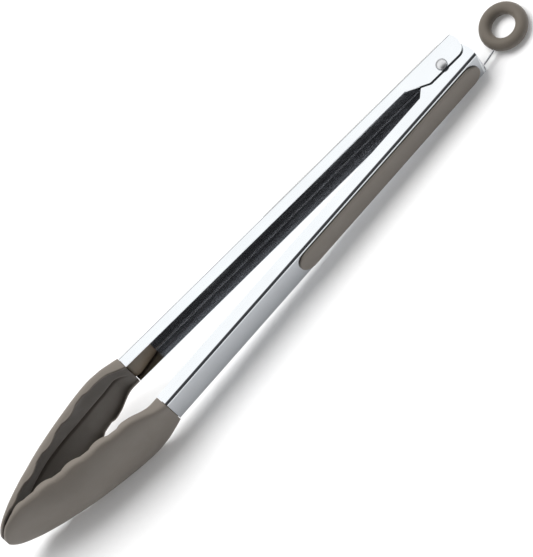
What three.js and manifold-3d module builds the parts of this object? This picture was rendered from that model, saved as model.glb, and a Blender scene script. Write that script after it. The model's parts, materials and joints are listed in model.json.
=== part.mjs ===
// Spring loaded, locking kitchen tongs: two folded steel arms on one rivet, soft covered heads,
// a torsion spring that pushes the arms open, and a sliding lock pulled by a ring on a wire.
// Millimetres, +Z up. The origin is the centre of the rivet's flat lower face. The rivet's axis
// is Z, the tips point to +X, the plain arm lies at -Y and the lock arm at +Y. Both arms are the
// same part: the plain one is turned half a turn about X. The tongs are drawn closed and locked,
// with the ring pulled out.
import * as THREE from 'three';
import { mergeVertices } from 'three/addons/utils/BufferGeometryUtils.js';
import Module from 'manifold-3d';

const wasm = await Module();
wasm.setup();

// ---- driving dimensions -------------------------------------------------------------------
const GAP = 0.3; // clearance between neighbouring pieces
const SHEET = 0.7; // steel sheet of the arms
const BEND = 1.6; // outer radius of the folds between back and side walls
const ARM_ANGLE = THREE.MathUtils.degToRad(2.39); // each arm from the centre plane, closed
const ARM_BACK = 9.6; // outer face of an arm's back wall, from the rivet's axis
const ARM_END = 197.7; // steel ends here, measured from the rivet along the arm
const PAIR_HEIGHT = 18.0; // both arms together, over their outermost side walls
const ARM_HEIGHT = PAIR_HEIGHT - SHEET - GAP; // each arm, a sheet and a gap out of line with the other
const ARM_BOTTOM = -PAIR_HEIGHT / 2; // the lock arm's heights, from the middle plane
const ARM_TOP = ARM_BOTTOM + ARM_HEIGHT;
const ARM_CENTRE = (ARM_BOTTOM + ARM_TOP) / 2;
const EAR_DEPTH = 12.25; // side walls round the rivet
const BACK_RELIEF_END = -9.5; // the plain arm's back wall stops here, clear of the ring

// The lock arm's lower side wall lies outside the plain arm's, and its upper one inside: slope is
// where the ear ends and where its slope meets the wall's edge, ahead of the rivet.
const OVER_WALL = { depth: 6.15, slope: [9.5, 20.3], butt: -12.8, backCorner: 2.9, earCorner: 4.4 };
const UNDER_WALL = { depth: 6.95, slope: [11.7, 18.0], butt: -13.6, backCorner: 0.5, earCorner: 5.0 };
const BUTT_BULGE = 0.5;

const RIVET_RADIUS = 2.0;
const RIVET_DOME_RADIUS = 2.8;
const RIVET_DOME_HEIGHT = 1.2;
const RIVET_FOOT_RADIUS = 3.5;
const RIVET_FOOT_HEIGHT = 0.9;
const SPACER_RADIUS = 3.2;
const MID_Z = RIVET_FOOT_HEIGHT + GAP + PAIR_HEIGHT / 2; // middle plane of both arms

const GRIP_START = -10; // grip inlay on each arm's back wall
const GRIP_END = 111;
const GRIP_HALF_WIDTH = 6.4;
const GRIP_THICKNESS = 0.7;

const SPRING_WIRE = 1.3; // diameter
const SPRING_RADIUS = 4.6; // centre line of the coil
const SPRING_TURNS = 3.5;
const SPRING_PITCH = 1.5;
const SPRING_LOW = 0.95; // lowest turn's centre line above the middle plane
const SPRING_LEG = 17;

const LOCK_TRAVEL = 3.0; // pushed in from the locked place
const LOCK_SHEET = 1.2;
const LOCK_TOP = -0.2; // top of the lock plate from the middle plane
const LOCK_REAR = -12.8;
const LOCK_FRONT = 9.5;
const TAB_SIDE = 6.0; // outer face of the folded tab that holds the wire
const TAB_FRONT = -7.4;
const TAB_LOW = -6.9;
const HOOK = new THREE.Vector3(-10.5, 0, -4.8); // wire's swing axis, along Y, from the middle plane
const WIRE_RADIUS = 0.6;

const RING_CENTRE = new THREE.Vector3(-32.1, 0.6, -5.8); // from the middle plane
const RING_RADIUS = 9.0; // centre line of the ring's tube
const RING_TUBE = 3.05;
const RING_ENTRY = THREE.MathUtils.degToRad(30); // where the wire meets the ring, from +X

// The heads, in their arm's frame: x from the rivet, half width, back wall and rim (both y).
const HEAD_START = ARM_END + GAP;
const HEAD_TIP = 292;
const HEAD_WIDTHS = [[HEAD_START, 9.1], [203, 11.5], [208, 14.7], [214, 17.5], [226, 18.8],
  [246, 18.9], [262, 18.1], [274, 16.3]];
const HEAD_BACKS = [[HEAD_START, 10.4], [206, 10.2], [214, 9.1], [226, 7.0], [250, 1.4], [266, -3.2],
  [276, -6.3], [284, -8.5], [HEAD_TIP, -10.1]];
const HEAD_CROWNS = [[214, 0], [229, 1.2], [243, 3.0], [254, 3.8], [264, 3.3], [274, 2.0], [284, 0.7],
  [HEAD_TIP, 0]]; // the middle of the back stands this far above its edges
const HEAD_RIMS = [[HEAD_START, 3.1], [206, 4.6], [213, 3.5], [222, 1.6], [231, -0.4], [246, -3.8],
  [262, -8.2], [270, -10.2], [277, -11.25], [HEAD_TIP, -11.9]];
const TIP_ROUND_START = 262; // the width rounds off from here to the tip
const WALL = 3.0; // head cover and core together, in the middle
const RIM_WALL = 2.3; // and along the rim
const END_WALL = 9; // the hollow reaches its depth this far from the steel
const SCALLOP_START = 207.8;
const SCALLOP_PITCH = 15.4;
const SCALLOP_HEIGHT = 1.8;
const CORE_INSET = 0.8; // the core lies this deep in the cover
const CORE_EDGE = 4.4; // and ends this far inside its outline
const TANG_START = 183.0; // the core's tang inside the arm
const TANG_HALF_WIDTH = 7.0;
// The tang's open face, as [x, y]: thin at its free end, thickest where the head begins.
const TANG_FACE = [[TANG_START, 7.0], [HEAD_START - 3, 4.6], [HEAD_START, 5.2], [HEAD_START + 7.7, 7.6]];

// ---- materials ----------------------------------------------------------------------------
const steel = { color: 0xc9ccd0, metalness: 1.0, roughness: 0.22 };
const springSteel = { color: 0x8d9096, metalness: 1.0, roughness: 0.35 };
const silicone = { color: 0x6d665f, metalness: 0.0, roughness: 0.62 };
const nylon = { color: 0x4e4436, metalness: 0.0, roughness: 0.5 };

// ---- solid helpers ------------------------------------------------------------------------
function toSolid(geometry) {
  const bare = geometry.clone();
  for (const name of ['normal', 'uv']) bare.deleteAttribute(name);
  const merged = mergeVertices(bare, 1e-4);
  return new wasm.Manifold(new wasm.Mesh({
    numProp: 3,
    vertProperties: new Float32Array(merged.attributes.position.array),
    triVerts: new Uint32Array(merged.index.array),
  }));
}

function toGeometry(solid) {
  const mesh = solid.getMesh();
  const geometry = new THREE.BufferGeometry();
  geometry.setAttribute('position', new THREE.BufferAttribute(new Float32Array(mesh.vertProperties), 3));
  geometry.setIndex(new THREE.BufferAttribute(new Uint32Array(mesh.triVerts), 1));
  geometry.computeVertexNormals();
  return geometry;
}

function part(name, geometry, look) {
  const mesh = new THREE.Mesh(geometry, new THREE.MeshStandardMaterial(look));
  mesh.name = name;
  return mesh;
}

// A plan outline in XY, extruded from z = low to z = high.
function slab(shape, low, high, curveSegments = 6) {
  const options = { depth: high - low, bevelEnabled: false, curveSegments };
  return new THREE.ExtrudeGeometry(shape, options).translate(0, 0, low);
}

// A section in YZ, extruded along X.
function alongX(shape, start, end, curveSegments = 4) {
  const options = { depth: end - start, bevelEnabled: false, curveSegments };
  const turn = new THREE.Matrix4().makeBasis(
    new THREE.Vector3(0, 1, 0), new THREE.Vector3(0, 0, 1), new THREE.Vector3(1, 0, 0));
  return new THREE.ExtrudeGeometry(shape, options).applyMatrix4(turn).translate(start, 0, 0);
}

function box(x0, x1, y0, y1, z0, z1) {
  const geometry = new THREE.BoxGeometry(x1 - x0, y1 - y0, z1 - z0);
  return geometry.translate((x0 + x1) / 2, (y0 + y1) / 2, (z0 + z1) / 2);
}

function post(radius, low, high, sides = 24) {
  const geometry = new THREE.CylinderGeometry(radius, radius, high - low, sides);
  return geometry.rotateX(Math.PI / 2).translate(0, 0, (low + high) / 2);
}

// A round wire along a curve.
function wire(curve, radius, steps, sides = 8) {
  const section = new THREE.Shape();
  for (let i = 0; i < sides; i += 1) {
    const angle = (2 * Math.PI * i) / sides;
    const point = [radius * Math.cos(angle), radius * Math.sin(angle)];
    if (i === 0) section.moveTo(...point);
    else section.lineTo(...point);
  }
  section.closePath();
  return new THREE.ExtrudeGeometry(section, { steps, bevelEnabled: false, extrudePath: curve });
}

// A smooth curve through [x, value] stations, read at x.
function smooth(stations, x) {
  const last = stations.length - 1;
  let i = 0;
  while (i < last - 1 && x > stations[i + 1][0]) i += 1;
  const slope = (k) => {
    const a = stations[Math.max(k - 1, 0)];
    const b = stations[Math.min(k + 1, last)];
    return (b[1] - a[1]) / (b[0] - a[0]);
  };
  const [x0, y0] = stations[i];
  const [x1, y1] = stations[i + 1];
  const span = x1 - x0;
  const t = THREE.MathUtils.clamp((x - x0) / span, 0, 1);
  const rise = (1 + 2 * t) * (1 - t) ** 2;
  return rise * y0 + (1 - rise) * y1
    + span * t * (1 - t) * ((1 - t) * slope(i) - t * slope(i + 1));
}

// A closed body through flat sections that all have the same number of points. With the first
// of the two named axes to the right and the second up, the sections lead away from the viewer
// and their points run clockwise.
function loft(sections, flatAxes) {
  const count = sections[0].length;
  const positions = [];
  const indices = [];
  sections.flat().forEach((p) => positions.push(p.x, p.y, p.z));
  for (let s = 0; s < sections.length - 1; s += 1) {
    for (let i = 0; i < count; i += 1) {
      const next = (i + 1) % count;
      const [a, b] = [s * count + i, s * count + next];
      indices.push(a, b, b + count, a, b + count, a + count);
    }
  }
  for (const [at, flip] of [[0, true], [sections.length - 1, false]]) {
    const flat = sections[at].map((p) => new THREE.Vector2(p[flatAxes[0]], p[flatAxes[1]]));
    for (const [a, b, c] of THREE.ShapeUtils.triangulateShape(flat, [])) {
      const start = at * count;
      indices.push(...(flip ? [start + a, start + b, start + c] : [start + a, start + c, start + b]));
    }
  }
  const geometry = new THREE.BufferGeometry();
  geometry.setAttribute('position', new THREE.Float32BufferAttribute(positions, 3));
  geometry.setIndex(indices);
  return geometry;
}

// ---- arms ---------------------------------------------------------------------------------
// An arm is drawn as the lock arm lies, with its back at +Y.
function channelSection() {
  const inside = BEND - SHEET;
  const free = ARM_BACK - EAR_DEPTH - 1;
  const bendY = ARM_BACK - BEND;
  const shape = new THREE.Shape();
  shape.moveTo(free, ARM_BOTTOM);
  shape.absarc(bendY, ARM_BOTTOM + BEND, BEND, -Math.PI / 2, 0, false);
  shape.absarc(bendY, ARM_TOP - BEND, BEND, 0, Math.PI / 2, false);
  shape.lineTo(free, ARM_TOP);
  shape.lineTo(free, ARM_TOP - SHEET);
  shape.absarc(bendY, ARM_TOP - BEND, inside, Math.PI / 2, 0, true);
  shape.absarc(bendY, ARM_BOTTOM + BEND, inside, 0, -Math.PI / 2, true);
  shape.lineTo(free, ARM_BOTTOM + SHEET);
  shape.closePath();
  return shape;
}

// The arm's outline seen along Z, for a share from the under wall's (0) to the over wall's (1).
function armOutline(share, z) {
  const mix = (a, b) => THREE.MathUtils.lerp(a, b, share);
  const butt = mix(UNDER_WALL.butt, OVER_WALL.butt);
  const backCorner = mix(UNDER_WALL.backCorner, OVER_WALL.backCorner);
  const earCorner = mix(UNDER_WALL.earCorner, OVER_WALL.earCorner);
  const edge = ARM_BACK - mix(UNDER_WALL.depth, OVER_WALL.depth);
  const ear = ARM_BACK - EAR_DEPTH;
  const steps = 5;
  const points = [[ARM_END + 2, ARM_BACK + 1], [butt + backCorner, ARM_BACK + 1]];
  for (let i = 0; i <= steps; i += 1) {
    const angle = (Math.PI / 2) * (1 + i / steps);
    points.push([butt + backCorner * (1 + Math.cos(angle)), ARM_BACK - backCorner * (1 - Math.sin(angle))]);
  }
  const [high, low] = [ARM_BACK - backCorner, ear + earCorner];
  for (let i = 1; i < steps; i += 1) {
    const along = i / steps;
    points.push([butt - 4 * BUTT_BULGE * along * (1 - along), THREE.MathUtils.lerp(high, low, along)]);
  }
  for (let i = 0; i <= steps; i += 1) {
    const angle = Math.PI * (1 + i / steps / 2);
    points.push([butt + earCorner * (1 + Math.cos(angle)), low + earCorner * Math.sin(angle)]);
  }
  points.push([mix(UNDER_WALL.slope[0], OVER_WALL.slope[0]), ear]);
  points.push([mix(UNDER_WALL.slope[1], OVER_WALL.slope[1]), edge]);
  points.push([ARM_END + 2, edge]);
  return points.map(([x, y]) => new THREE.Vector3(x, y, z));
}

function armChannel() {
  const stock = toSolid(alongX(channelSection(), UNDER_WALL.butt - 2, ARM_END));
  const levels = [[1, ARM_BOTTOM - 1], [1, ARM_BOTTOM + BEND], [0, ARM_TOP - BEND], [0, ARM_TOP + 1]];
  const plan = toSolid(loft(levels.map(([share, z]) => armOutline(share, z)), 'yx'));
  const hole = toSolid(post(RIVET_RADIUS + GAP, ARM_BOTTOM - 1, ARM_TOP + 1));
  return stock.intersect(plan).subtract(hole);
}

// The inlay lies on the back wall, with half round ends.
function gripInlay() {
  const shape = new THREE.Shape();
  shape.moveTo(GRIP_START + GRIP_HALF_WIDTH, -GRIP_HALF_WIDTH);
  shape.lineTo(GRIP_END - GRIP_HALF_WIDTH, -GRIP_HALF_WIDTH);
  shape.absarc(GRIP_END - GRIP_HALF_WIDTH, 0, GRIP_HALF_WIDTH, -Math.PI / 2, Math.PI / 2, false);
  shape.lineTo(GRIP_START + GRIP_HALF_WIDTH, GRIP_HALF_WIDTH);
  shape.absarc(GRIP_START + GRIP_HALF_WIDTH, 0, GRIP_HALF_WIDTH, Math.PI / 2, 1.5 * Math.PI, false);
  shape.closePath();
  const inner = ARM_BACK + GAP;
  return slab(shape, 0, GRIP_THICKNESS, 10).rotateX(-Math.PI / 2).translate(0, inner, ARM_CENTRE);
}

// ---- heads --------------------------------------------------------------------------------
function headWidth(x) {
  const width = smooth(HEAD_WIDTHS, x);
  if (x <= TIP_ROUND_START) return width;
  const part = (x - TIP_ROUND_START) / (HEAD_TIP - TIP_ROUND_START);
  return smooth(HEAD_WIDTHS, TIP_ROUND_START) * Math.max(1 - part ** 2.3, 0) ** (1 / 1.8);
}

function scallop(x) {
  const rise = THREE.MathUtils.smoothstep(x, SCALLOP_START + 5, SCALLOP_START + 13);
  const fade = 1 - THREE.MathUtils.smoothstep(x, HEAD_TIP - 16, HEAD_TIP - 4);
  const lobe = Math.abs(Math.sin((Math.PI * (x - SCALLOP_START)) / SCALLOP_PITCH));
  return SCALLOP_HEIGHT * rise * fade * (1 - lobe ** 0.8);
}

// What a head's cover measures at x. The rim's base is the line that the scallops are cut above.
function coverAt(x) {
  const half = Math.max(headWidth(x), 0.6);
  const back = smooth(HEAD_BACKS, x);
  const base = smooth(HEAD_RIMS, x);
  const depth = back - base;
  const filled = 1 - THREE.MathUtils.smoothstep(x, HEAD_START, HEAD_START + END_WALL);
  const wall = THREE.MathUtils.lerp(Math.min(WALL, 0.75 * depth), 0.94 * depth, filled);
  return { half, innerHalf: Math.max(half - RIM_WALL, 0.4 * half), back, base, depth, wall,
    rim: base + Math.min(scallop(x), 0.4 * (depth - wall)), crown: smooth(HEAD_CROWNS, x) };
}

// Heights of the cover's outside and of its hollow, over a point z from the middle of its width.
function coverOutside({ half, base, depth, crown }, z) {
  const share = Math.min(Math.abs(z) / half, 1);
  return base + depth * (1 - share ** 4) ** (1 / 3.4) + crown * (1 - share ** 2) ** 1.5;
}

function coverInside({ innerHalf, base, depth, wall, crown }, z) {
  const share = Math.min(Math.abs(z) / innerHalf, 1);
  return base + (depth - wall) * (1 - share ** 6) ** (1 / 2.4) + crown * (1 - share ** 1.2);
}

function coverSection(x) {
  const cover = coverAt(x);
  const { half, innerHalf, base, depth, wall, rim } = cover;
  const outerEnd = half * (1 - ((rim - base) / depth) ** 3.4) ** (1 / 4);
  const innerEnd = innerHalf * (1 - ((rim - base) / (depth - wall)) ** 2.4) ** (1 / 6);
  const across = (shares) => [...shares.slice(1).reverse().map((share) => -share), ...shares];
  const outside = across([0, 0.25, 0.5, 0.7, 0.85, 0.94, 0.985, 1]).map((share) => share * outerEnd);
  const inside = across([0, 0.25, 0.5, 0.75, 0.92, 1]).reverse().map((share) => share * innerEnd);
  const points = outside.map((z) => [z, Math.abs(z) < outerEnd ? coverOutside(cover, z) : rim]);
  points.push(...inside.map((z) => [z, Math.abs(z) < innerEnd ? coverInside(cover, z) : rim]));
  return points.map(([z, y]) => new THREE.Vector3(x, y, ARM_CENTRE + z));
}

// The core is a crowned plate between the cover's two faces.
function coreSection(x, inset, edge) {
  const cover = coverAt(x);
  const half = Math.max(cover.half - edge, 1);
  const shares = [-1, -0.75, -0.5, -0.25, 0, 0.25, 0.5, 0.75, 1];
  const points = shares.map((share) => [share * half, coverOutside(cover, share * half) - inset]);
  points.push(...shares.reverse().map((share) => [share * half, coverInside(cover, share * half) + inset]));
  return points.map(([z, y]) => new THREE.Vector3(x, y, ARM_CENTRE + z));
}

function headBody(start, end, steps, section) {
  const sections = [];
  for (let i = 0; i <= steps; i += 1) {
    const along = i / steps;
    const eased = along + 0.05 * Math.sin(2 * Math.PI * along) * along; // closer near the tip
    sections.push(section(start + (end - start) * eased));
  }
  return toSolid(loft(sections, 'zy'));
}

// The tang fills the arm's end and roots the core in it.
function tang(grow) {
  const high = ARM_BACK - SHEET - GAP + grow;
  const start = TANG_START;
  const end = TANG_FACE[TANG_FACE.length - 1][0] + grow;
  const shape = new THREE.Shape();
  shape.moveTo(start, high);
  for (const [x, y] of TANG_FACE) shape.lineTo(x, y - grow);
  shape.lineTo(end, TANG_FACE[TANG_FACE.length - 1][1] - grow);
  shape.lineTo(end, high);
  shape.closePath();
  return toSolid(slab(shape, ARM_CENTRE - TANG_HALF_WIDTH - grow, ARM_CENTRE + TANG_HALF_WIDTH + grow));
}

const CORE_BEGIN = HEAD_START + 5.3;
const CORE_TIP = HEAD_TIP - 14;

function headCore() {
  const plate = (x) => coreSection(x, CORE_INSET, CORE_EDGE);
  return headBody(CORE_BEGIN, CORE_TIP, 22, plate).add(tang(0));
}

function headCover() {
  const pocket = (x) => coreSection(x, CORE_INSET - GAP, CORE_EDGE - GAP);
  return headBody(HEAD_START, HEAD_TIP - 0.15, 38, coverSection)
    .subtract(headBody(CORE_BEGIN - GAP, CORE_TIP + GAP, 22, pocket))
    .subtract(tang(GAP));
}

// ---- pivot and spring ---------------------------------------------------------------------
function pivotRivet() {
  const half = PAIR_HEIGHT / 2 + GAP;
  const profile = [new THREE.Vector2(0, -half - RIVET_FOOT_HEIGHT)];
  profile.push(new THREE.Vector2(RIVET_FOOT_RADIUS - 0.3, -half - RIVET_FOOT_HEIGHT));
  profile.push(new THREE.Vector2(RIVET_FOOT_RADIUS, -half - RIVET_FOOT_HEIGHT + 0.3));
  profile.push(new THREE.Vector2(RIVET_FOOT_RADIUS, -half));
  profile.push(new THREE.Vector2(RIVET_RADIUS, -half));
  profile.push(new THREE.Vector2(RIVET_RADIUS, half));
  for (let i = 0; i <= 4; i += 1) {
    const angle = (Math.PI / 2) * (i / 4);
    const radius = i === 4 ? 0 : RIVET_DOME_RADIUS * Math.cos(angle);
    profile.push(new THREE.Vector2(radius, half + 0.2 + (RIVET_DOME_HEIGHT - 0.2) * Math.sin(angle)));
  }
  profile.splice(6, 0, new THREE.Vector2(RIVET_DOME_RADIUS, half));
  return new THREE.LatheGeometry(profile, 24).rotateX(Math.PI / 2);
}

function pivotSpacer() {
  const half = ARM_TOP - SHEET - GAP;
  const tube = toSolid(post(SPACER_RADIUS, -half, half));
  return toGeometry(tube.subtract(toSolid(post(RIVET_RADIUS + GAP, -half - 1, half + 1))));
}

// The wire comes in along the plain arm, winds round the spacer and leaves along the lock arm.
class SpringLine extends THREE.Curve {
  getPoint(t, target = new THREE.Vector3()) {
    const coilShare = 0.74;
    const legShare = (1 - coilShare) / 2;
    const top = SPRING_LOW + SPRING_TURNS * SPRING_PITCH;
    const reach = ARM_BACK - SHEET - GAP - SPRING_WIRE / 2 - SPRING_RADIUS + SPRING_LEG * Math.tan(ARM_ANGLE);
    const legPoint = (along, side, z) => {
      const spread = reach * THREE.MathUtils.smoothstep(along, 0, 0.9) - 0.25 * along;
      return target.set(SPRING_LEG * along, side * (SPRING_RADIUS + spread), z);
    };
    if (t < legShare) return legPoint(1 - t / legShare, -1, SPRING_LOW);
    if (t > 1 - legShare) return legPoint((t - 1 + legShare) / legShare, 1, top);
    const along = (t - legShare) / coilShare;
    const angle = -Math.PI / 2 - 2 * Math.PI * SPRING_TURNS * along;
    return target.set(SPRING_RADIUS * Math.cos(angle), SPRING_RADIUS * Math.sin(angle),
      SPRING_LOW + SPRING_TURNS * SPRING_PITCH * along);
  }
}

// ---- lock, wire and ring ------------------------------------------------------------------
function lockPlate() {
  const plan = new THREE.Shape();
  plan.moveTo(LOCK_REAR, TAB_SIDE);
  plan.lineTo(LOCK_REAR, -2.6);
  plan.lineTo(-6, -5.6);
  plan.lineTo(4, -5.6);
  plan.lineTo(LOCK_FRONT, -2.5);
  plan.lineTo(LOCK_FRONT, 2.5);
  plan.lineTo(4, TAB_SIDE);
  plan.closePath();
  const slotHalf = SPACER_RADIUS + GAP;
  const slot = new THREE.Path();
  slot.absarc(0, 0, slotHalf, -Math.PI / 2, Math.PI / 2, false);
  slot.absarc(-LOCK_TRAVEL, 0, slotHalf, Math.PI / 2, 1.5 * Math.PI, false);
  slot.closePath();
  plan.holes.push(slot);
  const plate = toSolid(slab(plan, LOCK_TOP - LOCK_SHEET, LOCK_TOP, 10));
  const tab = toSolid(box(LOCK_REAR, TAB_FRONT, TAB_SIDE - LOCK_SHEET, TAB_SIDE, TAB_LOW, LOCK_TOP - 0.1));
  const hole = new THREE.CylinderGeometry(WIRE_RADIUS + GAP, WIRE_RADIUS + GAP, 4, 16);
  hole.translate(HOOK.x, TAB_SIDE - LOCK_SHEET / 2, HOOK.z);
  return toGeometry(plate.add(tab).subtract(toSolid(hole)));
}

// Through the tab, back along the lock arm's wall, then to the ring and once round inside it.
function wireStem() {
  const ringEntry = new THREE.Vector3(Math.cos(RING_ENTRY), Math.sin(RING_ENTRY), 0)
    .multiplyScalar(RING_RADIUS).add(RING_CENTRE);
  const points = [
    new THREE.Vector3(HOOK.x, TAB_SIDE - LOCK_SHEET - 0.9, HOOK.z),
    new THREE.Vector3(HOOK.x, TAB_SIDE + 0.3, HOOK.z),
    new THREE.Vector3(HOOK.x - 0.45, TAB_SIDE + 0.95, HOOK.z - 0.15),
    new THREE.Vector3(HOOK.x - 1.5, TAB_SIDE + 1.2, HOOK.z - 0.6),
    new THREE.Vector3(-13.6, 7.05, -6.0),
    ringEntry,
  ];
  return new THREE.CatmullRomCurve3(points, false, 'centripetal');
}

function ringAt(tubeRadius, around, sides) {
  const geometry = new THREE.TorusGeometry(RING_RADIUS, tubeRadius, sides, around);
  return toSolid(geometry.translate(RING_CENTRE.x, RING_CENTRE.y, RING_CENTRE.z));
}

function pullWire() {
  return toGeometry(toSolid(wire(wireStem(), WIRE_RADIUS, 26)).add(ringAt(WIRE_RADIUS, 32, 8)));
}

function pullRing() {
  const core = ringAt(WIRE_RADIUS + GAP, 32, 8);
  const stem = toSolid(wire(wireStem(), WIRE_RADIUS + GAP, 26));
  return toGeometry(ringAt(RING_TUBE, 40, 16).subtract(core.add(stem)));
}

// ---- assembly -----------------------------------------------------------------------------
const tongs = new THREE.Group();
const stack = new THREE.Group();
stack.position.z = MID_Z;
tongs.add(stack);

function addArm(name, halfTurns, angle, channel) {
  const arm = new THREE.Group();
  arm.rotation.set(halfTurns * Math.PI, 0, angle, 'ZYX');
  arm.add(part(`${name}_channel`, toGeometry(channel), steel));
  arm.add(part(`${name}_grip_inlay`, gripInlay(), silicone));
  arm.add(part(`${name}_head_core`, toGeometry(headCore()), nylon));
  arm.add(part(`${name}_head_cover`, toGeometry(headCover()), silicone));
  stack.add(arm);
}

const relief = toSolid(box(UNDER_WALL.butt - 2, BACK_RELIEF_END, ARM_BACK - BEND, ARM_BACK + 1,
  ARM_BOTTOM + SHEET, ARM_TOP - SHEET));
addArm('plain_arm', 1, -ARM_ANGLE, armChannel().subtract(relief));
addArm('lock_arm', 0, ARM_ANGLE, armChannel());

stack.add(part('pivot_rivet', pivotRivet(), steel));
stack.add(part('pivot_spacer', pivotSpacer(), springSteel));
stack.add(part('torsion_spring', wire(new SpringLine(), SPRING_WIRE / 2, 110), springSteel));
stack.add(part('lock_plate', lockPlate(), steel));
stack.add(part('pull_wire', pullWire(), steel));
stack.add(part('pull_ring', pullRing(), silicone));

export default tongs;
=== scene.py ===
"""Kitchen tongs in a plain studio: the steel, silicone and nylon surfaces around the fixed CAD frame.

Lengths in this script are millimetres unless a name says otherwise; MM turns them into metres.
Both arms are the same part: it is drawn as the lock arm lies and turned over for the plain arm.
"""

import json
import math

import bmesh
import bpy
from mathutils import Matrix, Vector

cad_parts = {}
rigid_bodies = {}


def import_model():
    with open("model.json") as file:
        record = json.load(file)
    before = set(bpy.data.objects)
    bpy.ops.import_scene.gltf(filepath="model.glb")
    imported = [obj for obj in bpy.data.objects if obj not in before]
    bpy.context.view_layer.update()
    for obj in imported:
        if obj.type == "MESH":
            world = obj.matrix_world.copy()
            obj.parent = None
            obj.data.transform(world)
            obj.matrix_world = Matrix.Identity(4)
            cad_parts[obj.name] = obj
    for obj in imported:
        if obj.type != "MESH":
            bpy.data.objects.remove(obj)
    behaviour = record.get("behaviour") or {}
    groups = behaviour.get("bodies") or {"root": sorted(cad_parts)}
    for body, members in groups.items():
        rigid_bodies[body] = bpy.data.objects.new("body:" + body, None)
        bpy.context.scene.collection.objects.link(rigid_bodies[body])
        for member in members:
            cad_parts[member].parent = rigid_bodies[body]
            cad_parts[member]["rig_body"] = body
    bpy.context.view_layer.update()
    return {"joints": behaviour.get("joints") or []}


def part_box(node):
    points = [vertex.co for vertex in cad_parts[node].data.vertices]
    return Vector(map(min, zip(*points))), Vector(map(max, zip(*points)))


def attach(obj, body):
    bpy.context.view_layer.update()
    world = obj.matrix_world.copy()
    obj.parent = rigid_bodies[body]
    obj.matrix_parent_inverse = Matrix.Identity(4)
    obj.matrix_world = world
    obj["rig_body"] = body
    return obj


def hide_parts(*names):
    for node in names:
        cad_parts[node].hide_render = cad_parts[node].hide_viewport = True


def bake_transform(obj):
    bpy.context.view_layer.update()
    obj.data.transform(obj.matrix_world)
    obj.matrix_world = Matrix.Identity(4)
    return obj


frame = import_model()
MM = 0.001

# ---- sizes shared with the CAD part, in mm ---------------------------------------------------
MID = frame["joints"][0]["pos_m"][2] / MM  # middle plane of both arms
ARM_ANGLE = math.radians(2.39)
SHEET = 0.7
BEND = 1.6
ARM_BACK = 9.6
ARM_END = 197.7
ARM_BOTTOM = -9.0
ARM_TOP = 8.0
ARM_CENTRE = (ARM_BOTTOM + ARM_TOP) / 2
EAR = ARM_BACK - 12.25
OVER_WALL = {"depth": 6.15, "slope": (9.5, 20.3), "butt": -12.8, "back": 2.9, "ear": 4.4}
UNDER_WALL = {"depth": 6.95, "slope": (11.7, 18.0), "butt": -13.6, "back": 0.5, "ear": 5.0}
BUTT_BULGE = 0.5
RELIEF_END = -9.5
PIVOT_HOLE = 2.3
CUT_EDGE = 0.18  # rounding of cut sheet edges
FACE_SLACK = 0.05  # how far from its nominal plane a face may lie when materials are given out

GRIP_START, GRIP_END, GRIP_HALF = -10.0, 111.0, 6.4
GRIP_INNER, GRIP_THICK = ARM_BACK + 0.12, 0.88
GRIP_EDGE = 0.42  # rounding of its outer edge
GRIP_CROWN = ((1.6, 0.05), (3.2, 0.085), (4.8, 0.10))  # inset from the outline, rise above the edge

HEAD_START, HEAD_TIP = 198.0, 292.0
HEAD_WIDTHS = [(198, 9.1), (203, 11.5), (208, 14.7), (214, 17.5), (226, 18.8), (246, 18.9),
               (262, 18.1), (274, 16.3)]
HEAD_BACKS = [(198, 10.4), (206, 10.2), (214, 9.1), (226, 7.0), (250, 1.4), (266, -3.2), (276, -6.3),
              (284, -8.5), (292, -10.1)]
HEAD_CROWNS = [(214, 0), (229, 1.2), (243, 3.0), (254, 3.8), (264, 3.3), (274, 2.0), (284, 0.7), (292, 0)]
HEAD_RIMS = [(198, 3.1), (206, 4.6), (213, 3.5), (222, 1.6), (231, -0.4), (246, -3.8), (262, -8.2),
             (270, -10.2), (277, -11.25), (292, -11.9)]
TIP_ROUND_START = 262
WALL, RIM_WALL, END_WALL = 3.0, 2.3, 9.0
SCALLOP_START, SCALLOP_PITCH, SCALLOP_HEIGHT = 207.8, 15.4, 3.1
BAND_WIDTHS = [(198, 5.0), (206, 4.4), (216, 3.6), (270, 3.4), (284, 2.4), (292, 1.0)]
BAND_INSETS = [(198, 0.0), (204, 0.5), (214, 1.15), (262, 1.15), (276, 0.9), (288, 0.3), (292, 0.0)]
GROOVE_DEPTH, GROOVE_HALF = 0.7, 0.7
TANG_START, TANG_HALF = 183.0, 7.0
TANG_FACE = [(183, 7.0), (195, 4.6), (198, 5.2), (205.7, 7.6)]


# ---- small helpers -----------------------------------------------------------------------------
def smoothstep(x, low, high):
    t = min(max((x - low) / (high - low), 0.0), 1.0)
    return t * t * (3 - 2 * t)


def lerp(a, b, t):
    return a + (b - a) * t


def smooth(stations, x):
    """A smooth curve through (x, value) stations, read at x."""
    last = len(stations) - 1
    i = 0
    while i < last - 1 and x > stations[i + 1][0]:
        i += 1

    def slope(k):
        a, b = stations[max(k - 1, 0)], stations[min(k + 1, last)]
        return (b[1] - a[1]) / (b[0] - a[0])

    (x0, y0), (x1, y1) = stations[i], stations[i + 1]
    span = x1 - x0
    t = min(max((x - x0) / span, 0.0), 1.0)
    rise = (1 + 2 * t) * (1 - t) ** 2
    return rise * y0 + (1 - rise) * y1 + span * t * (1 - t) * ((1 - t) * slope(i) - t * slope(i + 1))


def arm_frame(name):
    """From an arm's own millimetres to the CAD frame in metres."""
    side = 1 if name == "lock_arm" else -1
    turn = Matrix.Rotation(side * ARM_ANGLE, 4, "Z")
    if side < 0:
        turn = turn @ Matrix.Rotation(math.pi, 4, "X")
    return Matrix.Scale(MM, 4) @ Matrix.Translation((0, 0, MID)) @ turn


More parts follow.
